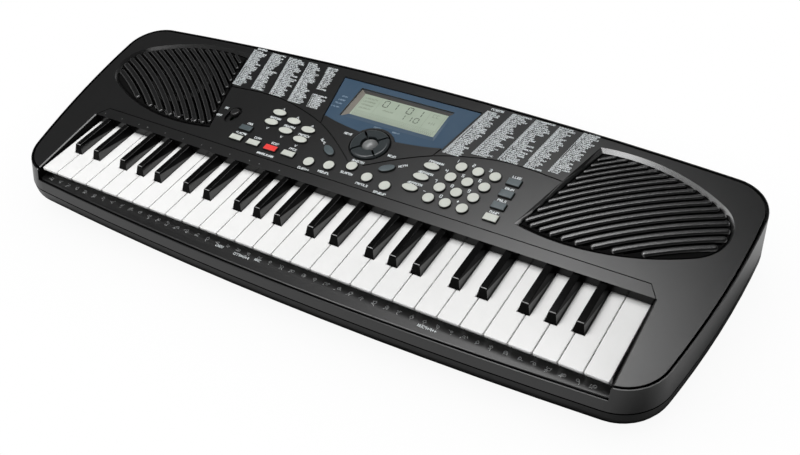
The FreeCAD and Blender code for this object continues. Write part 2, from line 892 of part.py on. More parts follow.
def upper_case():
    outer = shell_block([(parting_z, 0.0), (roof_z, 0.0)]).common(below_panel(0.0))
    inner = shell_block([(parting_z - wall, wall), (roof_z, wall)]).common(below_panel(wall))
    ledge_block = box(opening_left - wall, opening_right + wall, front_y - wall, wall_y + wall,
                      ledge_z - wall, roof_z)
    inner = inner.cut(ledge_block)
    key_slot = box(opening_left, opening_right, key_front_y + ledge_under_lip, wall_y + 2 * wall,
                   parting_z - wall, wall_bottom_z)
    body = outer.cut([key_notch(), inner, key_slot, edge_groove()] + opening_bevels())
    body = body.makeFillet(ledge_lip_round, [ledge_lip(body)])

    pads = []
    for pad in both_sides(grille_prism(grille_bevel + wall, -grille_depth - wall, -wall / 2)):
        pads.append(onto_panel(pad))
    switch_pad = slot_face(switch_place[0], switch_place[1], switch_well_length + 2 * wall,
                           switch_well_width + 2 * wall)
    pads.append(onto_panel(raised(switch_pad, -switch_well_depth - wall, -wall / 2)))
    cursor_x, cursor_v = cursor_place
    cursor_rim = cursor_well_radius + wall
    pads.append(onto_panel(cylinder(cursor_rim, cursor_x, cursor_v, -cursor_well_depth - wall, -wall / 2)))
    pads.append(onto_panel(raised(window_face(wall), -window_recess - window_floor, -wall / 2)))
    for x, v in panel_posts:
        pads.append(onto_panel(cylinder(panel_post_radius, x, v, -panel_board_depth, -wall / 2)))
    for x, y in screw_places():
        pads.append(cylinder(upper_boss_radius, x, y, parting_z, roof_z).common(outer).cut(key_notch()))
    body = body.fuse(pads)

    cuts = [onto_panel(cut) for cut in both_sides(grille_recess())]
    cuts += [onto_panel(cut) for cut in strip_grooves() + curve_grooves()]
    cuts += [onto_panel(cut) for cut in switch_hole() + cursor_hole() + window_cuts()]
    for face in button_outlines(button_clearance):
        cuts.append(onto_panel(raised(face, -wall - button_flange, wall)))
    bite_end = parting_z + screw_bite + screw_clearance
    for x, y in screw_places():
        cuts.append(cylinder(screw_radius + bead_clearance, x, y, parting_z - wall, bite_end))
    cuts += back_openings()
    body = body.cut(cuts)

    ribs = grille_ribs()
    slots = grille_slots()
    body = body.fuse([onto_panel(side) for rib in ribs for side in both_sides(rib)])
    body = body.cut([onto_panel(side) for slot in slots for side in both_sides(slot)])
    return tidy(body)


# Lower case


def tub(inset):
    """Tub with upright sides and a rounded bottom edge, all moved in by the inset."""
    low = floor_z + inset
    block = shell_block([(parting_z, inset), (low, inset)])
    rim = [edge for edge in block.Edges if max(v.Z for v in edge.Vertexes) < low + touch]
    return block.makeFillet(bottom_round_radius - inset, rim)


def door_box(gap):
    return (bay_center_x - bay_length / 2 - door_lap + gap, bay_center_x + bay_length / 2 + door_lap - gap,
            bay_front_y - door_lap + gap, bay_back_y + door_lap - gap)


door_axis_y = bay_back_y + door_lap - door_gap - door_pin_radius
door_axis_z = floor_z + door_thickness / 2


def contact_posts():
    count = int(key_span / 2 // contact_post_spacing)
    return [(index * contact_post_spacing, contact_y) for index in range(-count, count + 1)]


def main_board_posts():
    x0, x1 = main_board_x
    y1 = main_board_back_y - 2 * post_radius
    y0 = main_board_back_y - main_board_depth + 2 * post_radius
    return [(x, y) for x in (x0 + 2 * post_radius, x1 - 2 * post_radius) for y in (y0, y1)]


def foot_places():
    front = key_front_y + front_foot_from_keys
    back = back_y - back_foot_from_back
    corners = [(side * foot_x, y) for side in (-1, 1) for y in (front, back)]
    return corners + [(0.0, front), (foot_x / 2, back)]


def lower_case():
    outer = tub(0.0)
    body = outer.cut(tub(wall))
    groove = shell_block([(parting_z - parting_groove_height, -1.0), (parting_z + 1, -1.0)])
    groove = groove.cut(shell_block([(parting_z - 2 * parting_groove_height, parting_groove_depth),
                                     (parting_z + 2, parting_groove_depth)]))

    ridge = box(-key_span / 2, key_span / 2, pivot_y - bead_rib / 2, pivot_y + bead_rib / 2, floor_z, pivot_z)
    bead = Part.makeCylinder(bead_radius, key_span, Vector(-key_span / 2, pivot_y, pivot_z), along_x)
    posts = [cylinder(post_radius, x, y, floor_z, contact_board_z) for x, y in contact_posts()]
    posts += [cylinder(post_radius, x, y, floor_z, main_board_height) for x, y in main_board_posts()]
    bay = box(bay_center_x - bay_length / 2 - bay_wall, bay_center_x + bay_length / 2 + bay_wall,
              bay_front_y - bay_wall, bay_back_y + bay_wall, floor_z, floor_z + bay_depth + bay_wall)
    frame_x0, frame_x1, frame_y0, frame_y1 = door_box(0.0)
    bay_frame = box(frame_x0 - bay_wall, frame_x1 + bay_wall, frame_y0 - bay_wall, frame_y1 + bay_wall,
                    floor_z, floor_top_z + bay_wall)
    bosses = [cylinder(screw_boss_radius, x, y, floor_z, parting_z).common(outer) for x, y in screw_places()]
    body = body.fuse([ridge, bead, bay, bay_frame] + posts + bosses)

    cuts = [groove]
    cuts.append(box(bay_center_x - bay_length / 2, bay_center_x + bay_length / 2, bay_front_y, bay_back_y,
                    floor_z - 1, floor_z + bay_depth))
    cuts.append(box(frame_x0, frame_x1, frame_y0, frame_y1, floor_z - 1, floor_z + door_thickness + door_gap))
    pin_hole = door_pin_radius + door_pin_clearance
    cuts.append(Part.makeCylinder(pin_hole, frame_x1 - frame_x0 + 2 * door_pin_length,
                                  Vector(frame_x0 - door_pin_length, door_axis_y, door_axis_z), along_x))
    for x, y in screw_places():
        cuts.append(cylinder(screw_radius + screw_clearance, x, y, floor_z - 1, parting_z + 1))
        cuts.append(cylinder(screw_head_radius + screw_clearance, x, y, floor_z - 1, screw_seat_height))
    for x, y in foot_places():
        cuts.append(cylinder(foot_radius + button_clearance, x, y, floor_z - 1, floor_z + foot_seat))
    return tidy(body.cut(cuts))


def battery_door():
    """Flat lid with two end pins at its back edge."""
    x0, x1, y0, _ = door_box(door_gap)
    plate = box(x0, x1, y0, door_axis_y, floor_z, floor_z + door_thickness)
    knuckle = Part.makeCylinder(door_pin_radius, x1 - x0 + 2 * (door_pin_length - door_gap),
                                Vector(x0 - door_pin_length + door_gap, door_axis_y, door_axis_z), along_x)
    return tidy(plate.fuse(knuckle))


# Keys


def black_places():
    """Black keys by the white key on their left: degree in the octave and offset of their centre."""
    return {0: -black_shift, 1: black_shift, 3: -black_shift, 4: 0.0, 5: black_shift}


def black_center(white_index):
    """X of the black key to the right of a white key, or None where there is none."""
    offset = black_places().get(white_index % 7)
    if offset is None or not 0 <= white_index < white_count - 1:
        return None
    return -key_span / 2 + (white_index + 1) * key_pitch + offset


def add_saddle(key, x0, x1):
    """Arm down to the pivot, with the snap-on saddle at its end and the plunger over the contact."""
    arm = box(x0, x1, wall_y + key_reach_under_wall - 1, pivot_y + saddle_back, skirt_z, arm_top_z)
    middle = (x0 + x1) / 2
    half = plunger_size / 2
    ceiling_z = arm_top_z - key_ceiling
    plunger = box(middle - half, middle + half, contact_y - half, contact_y + half, plunger_z, ceiling_z)
    pocket = box(x0 + key_wall, x1 - key_wall, black_front_y + key_wall, pivot_y - saddle_back - key_wall,
                 skirt_z - 1, ceiling_z)
    bore_start = Vector(x0 - 1, pivot_y, pivot_z)
    bore = Part.makeCylinder(bead_radius + bead_clearance, x1 - x0 + 2, bore_start, along_x)
    slot = box(x0 - 1, x1 + 1, pivot_y - saddle_slot / 2, pivot_y + saddle_slot / 2, skirt_z - 1, pivot_z)
    return tidy(key.fuse(arm).cut([pocket, bore, slot]).fuse(plunger))


def white_key(index):
    left = -key_span / 2 + index * key_pitch + key_gap / 2
    right = left + key_pitch - key_gap
    narrow_left, narrow_right = left, right
    if black_center(index - 1) is not None:
        narrow_left = black_center(index - 1) + black_base_width / 2 + black_gap
    if black_center(index) is not None:
        narrow_right = black_center(index) - black_base_width / 2 - black_gap
    shoulder = black_front_y - black_front_gap
    end = wall_y + key_reach_under_wall
    plan = [(left, key_front_y), (right, key_front_y), (right, shoulder)]
    if narrow_right < right:
        plan.append((narrow_right, shoulder))
    plan += [(narrow_right, end), (narrow_left, end)]
    if narrow_left > left:
        plan.append((narrow_left, shoulder))
    plan.append((left, shoulder))
    block = tidy(prism(plan, skirt_z, key_top_height))
    corners = [edge for edge in block.Edges if edge.BoundBox.YMax < key_front_y + touch
               and edge.BoundBox.XMax - edge.BoundBox.XMin < touch]
    block = block.makeFillet(white_corner_radius, corners)
    rim = [edge for edge in block.Edges if min(v.Z for v in edge.Vertexes) > key_top_height - touch]
    block = block.makeFillet(white_edge_radius, rim)
    skirt_y = key_front_y + white_lip_overhang
    under_lip = box(left, right, key_front_y, skirt_y, skirt_z, key_top_height - white_lip)
    pocket = box(left + key_wall, right - key_wall, skirt_y + key_wall, shoulder - key_wall,
                 skirt_z, key_top_height - key_ceiling)
    return add_saddle(block.cut([under_lip, pocket]), narrow_left, narrow_right)


def black_key(white_index):
    center = black_center(white_index)
    left = center - black_base_width / 2
    right = center + black_base_width / 2
    end = wall_y - black_end_gap
    base = box(left, right, black_front_y, end, skirt_z, key_top_height)
    top_z = key_top_height + black_height
    half = black_top_width / 2
    foot_points = [(left, black_front_y), (right, black_front_y), (right, end), (left, end)]
    head_y = black_front_y + black_front_slope
    head_points = [(center - half, head_y), (center + half, head_y)]
    head_points += [(center + half, end), (center - half, end)]
    foot = Part.makePolygon([Vector(x, y, key_top_height) for x, y in foot_points + foot_points[:1]])
    head = Part.makePolygon([Vector(x, y, top_z) for x, y in head_points + head_points[:1]])
    cap = Part.makeLoft([foot, head], True, True)
    crest = [edge for edge in cap.Edges if min(v.Z for v in edge.Vertexes) > top_z - touch]
    cap = cap.makeFillet(black_edge_radius, crest)
    block = cap.fuse(base)
    link = box(left, right, end - 1, wall_y + key_reach_under_wall, skirt_z, arm_top_z)
    return add_saddle(block.fuse(link), left, right)


def keys():
    """Every key by its node name, from the lowest C up."""
    letters = "cdefgab"
    named = {}
    for index in range(white_count):
        octave = 2 + index // 7
        letter = letters[index % 7]
        named["white_key_%s%d" % (letter, octave)] = white_key(index)
        if black_center(index) is not None:
            named["black_key_%s_sharp_%d" % (letter, octave)] = black_key(index)
    return named


# Inside


def circuit_boards():
    """Boards, contact strip, display glass, slide switch body and sockets as separate solids."""
    half = panel_board_half_width
    panel_board = box(-half, half, panel_board_front_v, panel_board_back_v,
                      -panel_board_depth - board_thickness, -panel_board_depth)
    glass_face = rectangle_face(0, glass_center_v, glass_width + 2 * glass_margin,
                                glass_height + 2 * glass_margin)
    glass = raised(glass_face, -glass_depth - glass_thickness, -glass_depth)
    contact_half = contact_board_width / 2
    contact_board = box(-key_span / 2, key_span / 2, contact_y - contact_half, contact_y + contact_half,
                        contact_board_z, contact_board_z + board_thickness)
    strip_half = contact_strip_width / 2
    contact_strip = box(-key_span / 2, key_span / 2, contact_y - strip_half, contact_y + strip_half,
                        contact_board_z + board_thickness, contact_top_z)
    main_x0, main_x1 = main_board_x
    main_board = box(main_x0, main_x1, main_board_back_y - main_board_depth, main_board_back_y,
                     main_board_height, main_board_height + board_thickness)
    solids = [onto_panel(panel_board), onto_panel(glass), contact_board, contact_strip, main_board]
    return Part.makeCompound(solids + sockets())


def socket(x, nose_radius, bore_radius):
    """Block on the main board with a bored nose that ends flush with the back wall."""
    y0 = main_board_back_y - socket_body_depth
    board_top = main_board_height + board_thickness
    block = box(x - socket_body_half, x + socket_body_half, y0, main_board_back_y,
                board_top, socket_z + socket_body_half)
    back_bow = back_bow_radius - math.sqrt(back_bow_radius ** 2 - x ** 2)
    nose_end = back_y - back_bow - socket_clearance
    nose = Part.makeCylinder(nose_radius, nose_end - y0 - wall, Vector(x, y0 + wall, socket_z), along_y)
    bore = Part.makeCylinder(bore_radius, nose_end - y0, Vector(x, y0 + wall, socket_z), along_y)
    return block.fuse(nose).cut(bore)


def sockets():
    power = socket(power_socket_x, power_socket_nose, power_socket_bore)
    pin_start = Vector(power_socket_x, main_board_back_y - socket_body_depth, socket_z)
    pin = Part.makeCylinder(power_socket_pin, socket_body_depth, pin_start, along_y)
    phones = socket(phones_socket_x, phones_socket_nose, phones_socket_bore)
    return [tidy(power.fuse(pin)), tidy(phones)]


def speakers():
    """Two round drivers, flange up against the grille floor."""
    x = grille_end_x - speaker_from_end[0]
    v = speaker_from_end[1]
    top = -grille_depth - wall
    flange = cylinder(speaker_radius, x, v, top - speaker_flange, top)
    flange = flange.cut(cylinder(basket_radius - wall, x, v, top - speaker_flange - 1, top + 1))
    basket_top = top - speaker_flange
    basket = Part.makeCone(basket_neck_radius, basket_radius, basket_depth,
                           Vector(x, v, basket_top - basket_depth), up)
    hollow = Part.makeCone(basket_neck_radius - wall, basket_radius - wall, basket_depth,
                           Vector(x, v, basket_top - basket_depth + wall), up)
    magnet_top = basket_top - basket_depth
    magnet = cylinder(magnet_radius, x, v, magnet_top - magnet_depth, magnet_top)
    driver = flange.fuse(basket.cut(hollow)).fuse(magnet)
    return Part.makeCompound([onto_panel(side) for side in both_sides(tidy(driver))])


def case_screws():
    screws = []
    for x, y in screw_places():
        head = cylinder(screw_head_radius, x, y, screw_seat_height - screw_head_height, screw_seat_height)
        shank = cylinder(screw_radius, x, y, screw_seat_height, parting_z + screw_bite)
        screws.append(tidy(head.fuse(shank)))
    return Part.makeCompound(screws)


def rubber_feet():
    feet = [cylinder(foot_radius, x, y, 0.0, floor_z + foot_seat) for x, y in foot_places()]
    return Part.makeCompound(feet)


def nodes():
    named = {
        "upper_case": upper_case(),
        "lower_case": lower_case(),
        "display_window": display_window(),
        "push_buttons": push_buttons(),
        "cursor_pad": cursor_pad(),
        "power_switch": power_switch(),
        "circuit_boards": circuit_boards(),
        "speakers": speakers(),
        "battery_door": battery_door(),
        "case_screws": case_screws(),
        "rubber_feet": rubber_feet(),
    }
    named.update(keys())
    return named


os.makedirs("parts", exist_ok=True)
for name, shape in nodes().items():
    shape.translate(Vector(-case_offset, 0, 0))
    shape.exportStep("parts/%s.step" % name)
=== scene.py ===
import math
import random

import bpy
from mathutils import Matrix, Vector


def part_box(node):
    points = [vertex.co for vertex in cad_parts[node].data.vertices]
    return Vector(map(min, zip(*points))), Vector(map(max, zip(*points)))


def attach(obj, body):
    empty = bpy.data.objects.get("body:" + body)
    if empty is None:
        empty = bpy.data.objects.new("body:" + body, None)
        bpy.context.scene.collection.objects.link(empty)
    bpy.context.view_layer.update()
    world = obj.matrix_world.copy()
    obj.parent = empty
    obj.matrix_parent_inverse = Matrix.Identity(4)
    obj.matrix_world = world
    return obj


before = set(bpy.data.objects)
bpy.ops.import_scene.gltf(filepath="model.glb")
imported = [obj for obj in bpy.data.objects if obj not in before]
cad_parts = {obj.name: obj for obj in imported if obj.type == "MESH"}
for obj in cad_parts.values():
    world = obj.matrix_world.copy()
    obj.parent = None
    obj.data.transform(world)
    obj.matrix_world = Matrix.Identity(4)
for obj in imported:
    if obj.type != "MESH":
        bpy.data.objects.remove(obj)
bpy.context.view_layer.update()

# All sizes are in millimetres unless a comment says otherwise
MM = 0.001

# Keys, from the imported parts
first_low, first_high = (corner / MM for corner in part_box("white_key_c2"))
last_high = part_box("white_key_c6")[1] / MM
keys_middle_x = (first_low.x + last_high.x) / 2
keys_front_y = first_low.y
keys_top_z = first_high.z
note_count = 49
octave_notes = 12
white_notes = (0, 2, 4, 5, 7, 9, 11)

# Panel: x runs along the keys from their middle, v up the panel's slope, h off its face
white_length = 79.7
panel_over_keys = 9.0
ledge_under_keys = 9.3
panel_tilt = math.radians(5.36)
wall_y = keys_front_y + white_length
panel_z = keys_top_z + panel_over_keys
ledge_z = keys_top_z - ledge_under_keys

# Black keys, and the line on their flanks below which a painted sheen shows, with the shine above and below
# it
black_height = 8.5
black_front_behind_white = 35.4
black_top_z = keys_top_z + black_height
black_front_y = keys_front_y + black_front_behind_white
flank_line_drop = 1.8
flank_line_end = 4.0
flank_soft = 0.4
flank_shine = (0.04, 1.0)

# Controls on the panel, placed by x and v
number_first = (92.7, 68.0)
number_column_step = 16.36
number_row_step = 14.37
number_row_shift = 3.05
number_keys = ("123", "456", "789", "-0+")
memory_step = 20.4
memory_v = (23.0, 26.0, 33.1, 26.0, 23.0)
pair_first = (-106.6, 69.0)
pair_step = 20.45
pair_fall = 5.2
pair_row_step = 14.0
pair_rows = 2
pair_count = 3
part_first = (67.7, 59.1)
part_step = 14.7
part_shift = 2.6
part_count = 3
slant_place = (31.3, 42.4)
slant_angle = math.radians(57.0)
style_first = (-126.9, 24.7)
style_step = 20.55
style_count = 4
style_red = 2
timbre_place = (-125.6, 38.8)
voice_first = (143.2, 24.8)
voice_step = 14.4
voice_count = 4
switch_place = (-151.0, 50.6)
cursor_place = (0.0, 63.5)
cursor_dome_radius = 7.6

# Sockets in the back wall
socket_x = (55.0, 99.0)
socket_y = (104.0, 130.0)
socket_z = (34.8, 48.0)

# Parting line, key opening and loudspeaker grilles, with the depth that the grilles' finish goes down to
parting_z = 28.0
parting_groove = 1.5
opening_side_x = 300.0
grille_x = (160.0, 324.0)
grille_v = (20.0, 140.0)
grille_depth = 3.2
grille_back_depth = 8.0
panel_groove_depth = 0.8

# Display
glass_width = 95.4
glass_height = 33.5
glass_middle_v = 113.0
glass_depth = 5.0
window_depth = 1.2

# Slack in where a face lies, and the least share of its normal along the side that it faces or leans to
touch = 0.1
wall_slack = 1.0
facing = 0.9
leaning = 0.4
edge_forward = 0.2
cap_flank_rise = 0.35

# Drift of tone and grain of the plastics, with the grain's depth in metres
mottle_detail = 4.0
mottle_span = (0.3, 0.7)
plating_mottle = 120.0
grain_scale = 1800.0
grain_depth = 0.0001

# Light that goes into the white keys, with its depth in metres
ivory_scatter = 0.5
ivory_scatter_depth = 0.003

# Refractive index that gives the right grille's bevel its painted sheen
rim_index = 2.6

# Reach in metres, and openness, over which the case's shine fades into corners as painted shade
corner_reach = 0.003
corner_openness = (0.30, 0.90)
corner_samples = 8

# Printed letters: width and gap are shares of the height
ink_lift = 0.04
label_height = 2.2
label_stroke = 0.5
glyph_share = 0.62
glyph_gap_share = 0.34
letter_seed = 49

# Numbered lists above the controls: bottom left corner, top left corner, longest line
list_height = 1.5
list_stroke = 0.36
list_pitch = 2.2
shortest_line_share = 0.55
right_lists = (
    ((67.0, 79.8), (79.4, 141.0), 18.0),
    ((92.1, 87.4), (103.3, 145.4), 21.0),
    ((116.8, 89.4), (126.4, 145.4), 20.0),
    ((140.6, 89.4), (149.8, 144.4), 17.0),
    ((162.5, 92.0), (171.6, 144.8), 18.0),
)
left_lists = (
    ((-181.8, 89.6), (-192.9, 141.0), 18.0),
    ((-158.9, 90.8), (-170.2, 143.2), 18.5),
    ((-135.5, 89.8), (-148.3, 143.2), 21.0),
    ((-111.1, 88.0), (-123.8, 143.6), 18.0),
    ((-94.4, 113.0), (-100.4, 143.8), 13.0),
    ((-89.0, 87.4), (-93.2, 104.0), 18.0),
)

# Labels that stand alone: x, v, length
list_titles = ((88.6, 144.9, 13.0), (-184.8, 144.6, 12.0))
cursor_labels = ((-27.0, 68.0, 9.0), (27.5, 57.0, 9.0), (2.0, 40.0, 13.0))
ledge_words = ((-65.0, 3.5, 8.0), (-40.0, 5.0, 16.0), (-23.0, 3.0, 6.5), (145.0, 5.5, 17.0))

# Labels at buttons: shift off the button's middle along x and v, length
voice_label = ((0.0, 6.0), 9.0)
style_label = ((0.0, 6.3), 8.0)
first_style_label = ((0.0, 6.3), 12.0)
red_label = ((0.0, -9.4), 20.0)
timbre_label = ((0.0, 6.3), 6.5)
pair_label = ((0.0, -(pair_row_step + label_height) / 2), 13.0)
part_label = ((1.0, 5.6), 14.0)
memory_label = ((0.0, -9.6), 13.0)
slant_label_reach = 15.0
slant_label_length = 9.0

# Signs at buttons: shift off the button's middle along x and v, height
number_sign = ((-8.6, 5.2), 3.0)
up_sign = ((-1.2, 5.8), 3.6)
down_sign = ((-1.2, -8.6), 3.6)
switch_on_sign = ((-14.5, 5.2), label_height)
switch_off_sign = ((-16.5, -6.0), label_height)

# Words on the lens: a leaning column left of the display, and a row below it
window_word_height = 1.6
window_column_first = (-66.0, 98.0)
window_column_step = (0.9, 5.0)
window_column_lengths = (9.0, 8.0, 7.0, 6.0)
window_row_places = ((-10.0, 86.0), (10.0, 86.0))
window_row_length = 8.0

# Drum marks on the ledge, with the spans that their drums and sticks vary in
ledge_span = 558.0
ledge_mark_v = 1.6
ledge_mark_size = 4.4
ledge_stroke = 0.5
ring_sides = 8
drum_shift = (0.8, 0.4)
drum_radius = (0.8, 1.5)
stick_count = (3, 6)
stick_lean = (-1.5, 1.5)
stick_rise = (0.3, 1.5)
note_step = ledge_span / (note_count - 1)

# Marks on the strip behind the keys
strip_first_x = -282.0
strip_mark_v = 4.2
strip_notes = 20
strip_radius = 0.35
strip_stroke = 0.4

# Figures on the display: text, lower left corner, size of one figure, step, stroke
display_figures = (
    ("01", (26.5, 21.5), (5.2, 8.6), 9.6, 0.9),
    ("01", (53.0, 21.0), (5.2, 8.6), 11.0, 0.9),
    ("110", (50.5, 12.2), (4.4, 6.4), 7.6, 0.8),
)

# Lines and ticks on the display, their heights being shares of the glass; a tick row is shift, span, stroke
staff_shares = (0.04, 0.15, 0.26)
staff_margin = 3.0
staff_stroke = 0.3
tick_first = 4.0
tick_step = 2.1
tick_count = 42
tick_rows = ((0.0, (0.06, 0.13), 0.7), (0.6, (0.18, 0.23), 0.5))
divider_x = (3.0, 22.0, 76.0, 92.0)
divider_span = (0.28, 0.96)
divider_stroke = 0.25

# Words on the display: x, v, length, height, stroke
display_rows = 4
display_row_step = 4.6
display_row_word = (5.0, 12.5, 14.0, 1.8, 0.4)
display_words = ((30.0, 16.0, 12.0, 1.8, 0.4), (80.0, 25.0, 6.0, 4.0, 0.5), (80.0, 15.0, 6.0, 4.0, 0.5))

# Camera, with the distances in metres between which it sees
camera_place = Vector((430.08, -505.52, 594.83)) * MM
camera_right = Vector((0.8487793, 0.5172681, -0.1095779))
camera_up = Vector((-0.2867337, 0.6244127, 0.7265621))
camera_back = Vector((0.4442493, -0.5852712, 0.6783068))
sensor_width = 36.0
focal_length = 43.209
camera_clip = (0.01, 20.0)

# Floor, in metres; glossy faces mirror a painted shadow on it near the object, and the shadow spot is a
# further painted shadow by the right front corner that only glossy faces mirror
floor_half = 4.0
floor_drop = 0.0002
floor_tone = 0.7
floor_roughness = 0.9
shadow_reach = 0.12
shadow_in_picture = (0.90, 1.0)
gloss_open = (0.64, 0.86)
shadow_spot_place = (0.350, -0.152)
shadow_spot_reach = (0.02, 0.11)
shadow_spot_tone = 0.1

# Studio: tones of its walls and ceiling by the sine of the height above the horizon
wall_tones = ((0.0, 1.0), (0.10, 1.0), (0.30, 0.25), (0.50, 0.05), (1.0, 0.03))

# Soft lights, in metres and watts: place, target, size, power
softboxes = {
    "softbox_over": ((-0.24, 0.11, 1.05), (-0.05, 0.0, 0.05), (1.05, 0.40), 11.2),
    "strip_front": ((-0.55, -0.60, 0.95), (-0.05, 0.0, 0.05), (1.60, 0.30), 3.2),
}


def on_panel(x, v, h):
    """Point of the case from the panel's own three coordinates, in metres."""
    y = wall_y + v * math.cos(panel_tilt) - h * math.sin(panel_tilt)
    z = panel_z + v * math.sin(panel_tilt) + h * math.cos(panel_tilt)
    return Vector((keys_middle_x + x, y, z)) * MM


def to_panel(point):
    """The panel's three coordinates of a point of the case."""
    x, y, z = point / MM
    y -= wall_y
    z -= panel_z
    v = y * math.cos(panel_tilt) + z * math.sin(panel_tilt)
    h = z * math.cos(panel_tilt) - y * math.sin(panel_tilt)
    return x - keys_middle_x, v, h


# Middles of the buttons

def number_place(row, column):
    """Number button, whose rows shift sideways."""
    x = number_first[0] + column * number_column_step - row * number_row_shift
    return x, number_first[1] - row * number_row_step


def memory_place(index):
    """Button of the bowed row in the middle."""
    return (index - (len(memory_v) - 1) / 2) * memory_step, memory_v[index]


def pair_place(index, row):
    """Upper or lower button of a pair."""
    return pair_first[0] + index * pair_step, pair_first[1] - index * pair_fall - row * pair_row_step


def part_place(index):
    """Button of the leaning column beside the numbers."""
    return part_first[0] - index * part_shift, part_first[1] - index * part_step


def style_place(index):
    """Button of the row at the left."""
    return style_first[0] + index * style_step, style_first[1]


def voice_place(index):
    """Button of the column at the right."""
    return voice_first[0], voice_first[1] + index * voice_step


# Materials

def grey(tone):
    """Colour without a hue."""
    return (tone, tone, tone)


def opaque(colour):
    """Colour with full cover."""
    return (*colour, 1.0)


def shader_of(material):
    """The material's surface shader."""
    return material.node_tree.nodes["Principled BSDF"]


def remap(tree, source, given=(0.0, 1.0), result=(0.0, 1.0)):
    """Node that carries the source's values from the given span to the resulting one."""
    node = tree.nodes.new("ShaderNodeMapRange")
    node.inputs["From Min"].default_value, node.inputs["From Max"].default_value = given
    node.inputs["To Min"].default_value, node.inputs["To Max"].default_value = result
    tree.links.new(source, node.inputs["Value"])
    return node


def plastic(name, dark, light, roughness, mottle, grain=0.0, shine=0.5):
    """Moulded plastic whose colour drifts between two tones, with a fine grain on its face."""
    material = bpy.data.materials.new(name)
    material.use_nodes = True
    nodes = material.node_tree.nodes
    links = material.node_tree.links
    shader = shader_of(material)
    shader.inputs["Roughness"].default_value = roughness
    shader.inputs["Specular IOR Level"].default_value = shine
    place = nodes.new("ShaderNodeTexCoord").outputs["Object"]
    drift = nodes.new("ShaderNodeTexNoise")
    drift.inputs["Scale"].default_value = mottle
    drift.inputs["Detail"].default_value = mottle_detail
    links.new(place, drift.inputs["Vector"])
    tones = nodes.new("ShaderNodeValToRGB")
    for element, position, colour in zip(tones.color_ramp.elements, mottle_span, (dark, light)):
        element.position = position
        element.color = opaque(colour)
    links.new(drift.outputs["Fac"], tones.inputs["Fac"])
    links.new(tones.outputs["Color"], shader.inputs["Base Color"])
    if grain:
        speck = nodes.new("ShaderNodeTexNoise")
        speck.inputs["Scale"].default_value = grain_scale
        links.new(place, speck.inputs["Vector"])
        bump = nodes.new("ShaderNodeBump")
        bump.inputs["Strength"].default_value = grain
        bump.inputs["Distance"].default_value = grain_depth
        links.new(speck.outputs["Fac"], bump.inputs["Height"])
        links.new(bump.outputs["Normal"], shader.inputs["Normal"])
    return material


def metal(name, dark, light, roughness):
    """Plated steel with a faint drift of tone."""
    material = plastic(name, dark, light, roughness, plating_mottle)
    shader_of(material).inputs["Metallic"].default_value = 1.0
    return material


def paint_shade_in_corners(material):
    """Painted shade: lets the shine fade where other surfaces stand close, as at grooves, ribs and caps."""
    tree = material.node_tree
    shine = shader_of(material).inputs["Specular IOR Level"]
    nearness = tree.nodes.new("ShaderNodeAmbientOcclusion")
    nearness.samples = corner_samples
    nearness.inputs["Distance"].default_value = corner_reach
    fade = remap(tree, nearness.outputs["AO"], corner_openness, (0.0, shine.default_value))
    tree.links.new(fade.outputs["Result"], shine)


def paint_sheen_below_line(material, line_start, line_end, soft, shine):
    """Painted sheen: lets a flank shine below the line between two points, given by y and z, and stay dull
    above it.
    """
    tree = material.node_tree
    slope = (line_end[1] - line_start[1]) / (line_end[0] - line_start[0])
    height = line_start[1] - slope * line_start[0]
    under = tree.nodes.new("ShaderNodeVectorMath")
    under.operation = "DOT_PRODUCT"
    under.inputs[1].default_value = (0.0, slope, -1.0)
    tree.links.new(tree.nodes.new("ShaderNodeTexCoord").outputs["Object"], under.inputs[0])
    fade = remap(tree, under.outputs["Value"], (-(height + soft) * MM, -(height - soft) * MM), shine)
    tree.links.new(fade.outputs["Result"], shader_of(material).inputs["Specular IOR Level"])


case_tones = ((0.0030, 0.0031, 0.0032), (0.0040, 0.0041, 0.0042))
case_matte = plastic("case_matte", *case_tones, roughness=0.34, mottle=60.0, grain=0.25, shine=0.6)
paint_shade_in_corners(case_matte)
case_gloss = plastic("case_gloss", grey(0.0030), grey(0.0040), roughness=0.2, mottle=60.0, shine=0.14)
tub_matte = plastic("tub_matte", (0.0026, 0.0027, 0.0028), (0.0034, 0.0035, 0.0036),
                    roughness=0.36, mottle=60.0, grain=0.25, shine=0.35)
# Painted shade: a near black, dull copy of the case plastic for the grilles' floors, the key opening's sides
# and the parting groove
painted_shade_dark = plastic("painted_shade_dark", grey(0.0010), grey(0.0016), roughness=0.8, mottle=60.0, shine=0.1)
grille_satin = plastic("grille_satin", *case_tones, roughness=0.26, mottle=60.0, shine=1.0)
paint_shade_in_corners(grille_satin)
rim_painted_sheen = plastic("rim_painted_sheen", *case_tones, roughness=0.26, mottle=60.0, shine=1.0)
shader_of(rim_painted_sheen).inputs["IOR"].default_value = rim_index

white_ivory = plastic("white_ivory", (0.88, 0.88, 0.87), (0.91, 0.91, 0.90), roughness=0.28, mottle=40.0)
white_shader = shader_of(white_ivory)
white_shader.inputs["Subsurface Weight"].default_value = ivory_scatter
white_shader.inputs["Subsurface Scale"].default_value = ivory_scatter_depth
white_shader.inputs["Subsurface Radius"].default_value = grey(1.0)
ebony_tones = (grey(0.0026), grey(0.0034))
black_ebony = plastic("black_ebony", *ebony_tones, roughness=0.12, mottle=40.0, shine=0.25)
# Painted sheen on the black keys' flanks, only below a slanting line
ebony_flank_painted_sheen = plastic("ebony_flank_painted_sheen", *ebony_tones, roughness=0.20, mottle=40.0)
flank_line = ((black_front_y, black_top_z - flank_line_drop), (wall_y - flank_line_end, keys_top_z))
paint_sheen_below_line(ebony_flank_painted_sheen, *flank_line, flank_soft, flank_shine)
# Painted shade: the black keys' fronts are darker and duller than the same plastic elsewhere
ebony_painted_front_shade = plastic("ebony_painted_front_shade", grey(0.0016), grey(0.0022), roughness=0.25, mottle=40.0, shine=0.05)
# Painted highlight on the edge over each black key's front
ebony_painted_highlight = plastic("ebony_painted_highlight", grey(0.24), grey(0.29), roughness=0.35, mottle=40.0, shine=1.0)

